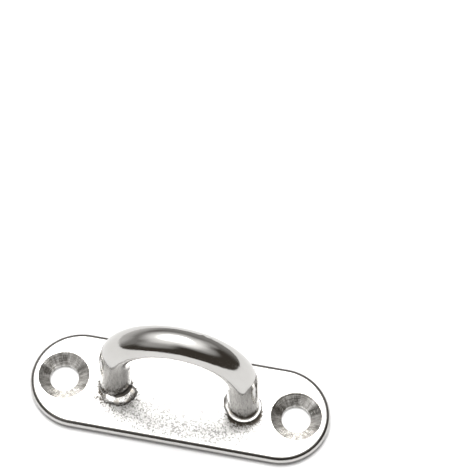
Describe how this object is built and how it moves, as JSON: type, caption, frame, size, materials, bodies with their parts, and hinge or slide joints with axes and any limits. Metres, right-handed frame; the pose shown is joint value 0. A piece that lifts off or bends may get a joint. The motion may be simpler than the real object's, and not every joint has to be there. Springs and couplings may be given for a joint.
{
  "type": "pad eye",
  "caption": "Oblong base plate with countersunk screw holes and a welded round-rod eye for tying off or hooking on to.",
  "frame": {"origin": "middle of the base plate's back face, at the bottom centre of the bounding box", "axes": "+X along the plate through both screw holes, +Y across the plate, +Z out of the mounting surface through the top of the eye"},
  "size_m": [0.0488, 0.0162, 0.023],
  "materials": {
    "plate_steel": "satin tumbled on the face, polished along the edge, turned in the countersinks",
    "rod_steel": "mirror polished, with light die marks",
    "weld_steel": "as welded and brushed, ground flat on the back"
  },
  "bodies": {
    "root": {"base_plate": "plate_steel", "eye_bow": "rod_steel", "weld_bead_left": "weld_steel", "weld_bead_right": "weld_steel", "back_weld_left": "weld_steel", "back_weld_right": "weld_steel"}
  },
  "joints": []
}
